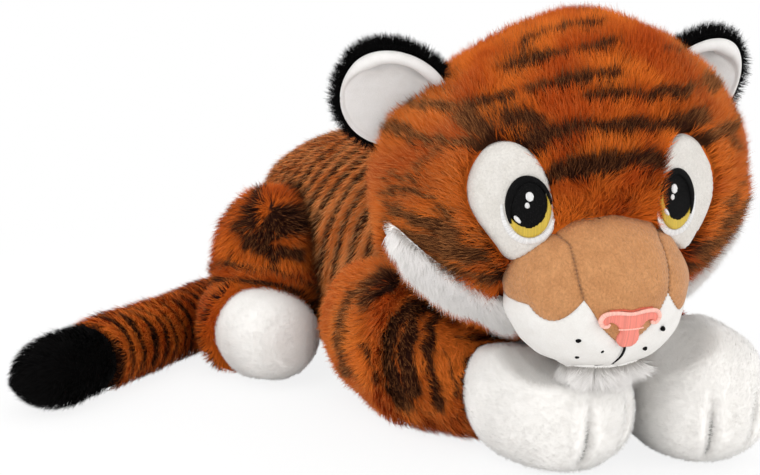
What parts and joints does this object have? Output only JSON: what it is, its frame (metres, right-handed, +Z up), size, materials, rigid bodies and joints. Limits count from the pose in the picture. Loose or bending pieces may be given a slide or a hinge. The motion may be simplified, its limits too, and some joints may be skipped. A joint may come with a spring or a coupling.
{
  "type": "plush tiger toy",
  "caption": "Stuffed toy tiger lying on its belly, head turned over its front paws, with embroidered eyes, sewn muzzle, ears and tail.",
  "frame": {"origin": "middle of the part's box, on the floor it lies on", "axes": "+Z up; the toy faces -Y and its right side is at -X"},
  "size_m": [0.4304, 0.4842, 0.268],
  "materials": {
    "long_pile": "Orange long-pile plush with broken dark brown stripes, brushed, matt",
    "white_plush": "White plush of the paws, feet and jaw trim, matt",
    "white_velboa": "Short white velboa of the eye patches, lower muzzle and ear linings, matt",
    "tan_minky": "Short tan minky of the muzzle's upper panels, matt",
    "black_plush": "Black long-pile plush of the ear backs and tail tip, matt",
    "pink_thread": "Pink satin-stitched embroidery thread, soft sheen",
    "black_thread": "Black embroidery thread, soft sheen",
    "gold_thread": "Gold embroidery thread, soft sheen"
  },
  "bodies": {
    "torso": {"torso": "long_pile"},
    "head": {"head": "long_pile", "muzzle_bridge": "tan_minky", "muzzle_cheek_right": "tan_minky", "muzzle_cheek_left": "tan_minky", "muzzle_lower_right": "white_velboa", "muzzle_lower_left": "white_velboa", "eye_patch_right": "white_velboa", "eye_patch_left": "white_velboa", "pupil_right": "black_thread", "pupil_left": "black_thread", "iris_right": "gold_thread", "iris_left": "gold_thread", "nose": "pink_thread", "mouth_stitch": "black_thread", "ruff_right": "white_plush", "ruff_left": "white_plush", "chin_tuft": "white_plush"},
    "ear_right": {"ear_back_right": "black_plush", "ear_lining_right": "white_velboa"},
    "ear_left": {"ear_back_left": "black_plush", "ear_lining_left": "white_velboa"},
    "arm_right": {"front_leg_right": "long_pile", "front_paw_right": "white_plush"},
    "arm_left": {"front_leg_left": "long_pile", "front_paw_left": "white_plush"},
    "rear_leg_right": {"haunch_right": "long_pile", "shin_right": "long_pile", "rear_foot_right": "white_plush"},
    "rear_leg_left": {"haunch_left": "long_pile", "shin_left": "long_pile", "rear_foot_left": "white_plush"},
    "tail": {"tail": "long_pile", "tail_tip": "black_plush"}
  },
  "joints": [
    {"name": "head_turn", "type": "hinge", "parent": "torso", "child": "head", "pos_m": [0.07391, -0.02773, 0.1], "axis": [0, 0, 1], "range_deg": [-10, 10], "stiffness_Nm_per_rad": 0.25},
    {"name": "ear_right_fold", "type": "hinge", "parent": "head", "child": "ear_right", "pos_m": [-0.03668, -0.079, 0.2161], "axis": [-0.337, 0.5393, -0.7717], "range_deg": [0, 25], "stiffness_Nm_per_rad": 0.06},
    {"name": "ear_left_fold", "type": "hinge", "parent": "head", "child": "ear_left", "pos_m": [0.12567, -0.13809, 0.2161], "axis": [-0.6048, -0.1965, 0.7717], "range_deg": [0, 25], "stiffness_Nm_per_rad": 0.06},
    {"name": "arm_right_splay", "type": "hinge", "parent": "torso", "child": "arm_right", "pos_m": [0.00391, 0.03427, 0.1], "axis": [0, 0, -1], "range_deg": [0, 12], "stiffness_Nm_per_rad": 0.15},
    {"name": "arm_left_splay", "type": "hinge", "parent": "torso", "child": "arm_left", "pos_m": [0.14391, 0.03427, 0.1], "axis": [0, 0, 1], "range_deg": [0, 12], "stiffness_Nm_per_rad": 0.15},
    {"name": "rear_leg_right_splay", "type": "hinge", "parent": "torso", "child": "rear_leg_right", "pos_m": [-0.00209, 0.17027, 0.1], "axis": [0, 0, -1], "range_deg": [0, 12], "stiffness_Nm_per_rad": 0.15},
    {"name": "rear_leg_left_splay", "type": "hinge", "parent": "torso", "child": "rear_leg_left", "pos_m": [0.14991, 0.17027, 0.1], "axis": [0, 0, 1], "range_deg": [0, 12], "stiffness_Nm_per_rad": 0.15},
    {"name": "tail_swing", "type": "hinge", "parent": "torso", "child": "tail", "pos_m": [0.07391, 0.22027, 0.1], "axis": [0, 0, 1], "range_deg": [-40, 0], "stiffness_Nm_per_rad": 0.05}
  ]
}
